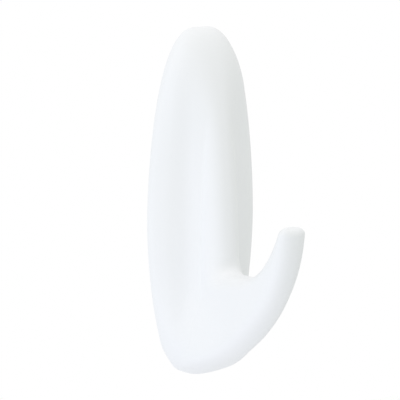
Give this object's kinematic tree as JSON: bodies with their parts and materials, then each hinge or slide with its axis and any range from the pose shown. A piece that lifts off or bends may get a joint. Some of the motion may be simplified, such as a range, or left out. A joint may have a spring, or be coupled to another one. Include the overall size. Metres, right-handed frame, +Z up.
{
  "type": "adhesive wall hook",
  "caption": "White moulded wall hook: oval plate with a central ridge that turns forward into a tapered arm, on a base plate with a stretch-release adhesive strip.",
  "frame": {"origin": "middle of the strip's bonded face, on the wall", "axes": "+Z up along the wall, +Y into the wall, the hook faces -Y"},
  "size_m": [0.0282, 0.0398, 0.0798],
  "materials": {
    "hook_plastic": "satin moulded",
    "plate_plastic": "moulded",
    "strip_foam": "soft foam",
    "adhesive": "tacky film",
    "tab_film": "smooth film"
  },
  "bodies": {
    "wall_base": {"base_plate": "plate_plastic", "foam_strip": "strip_foam", "plate_adhesive": "adhesive", "wall_adhesive": "adhesive", "tab_film_front": "tab_film", "tab_film_back": "tab_film"},
    "hook": {"hook_body": "hook_plastic"}
  },
  "joints": [
    {"name": "hook_slide", "type": "slide", "parent": "wall_base", "child": "hook", "axis": [0, 0, 1], "range_m": [0, 0.01]}
  ]
}
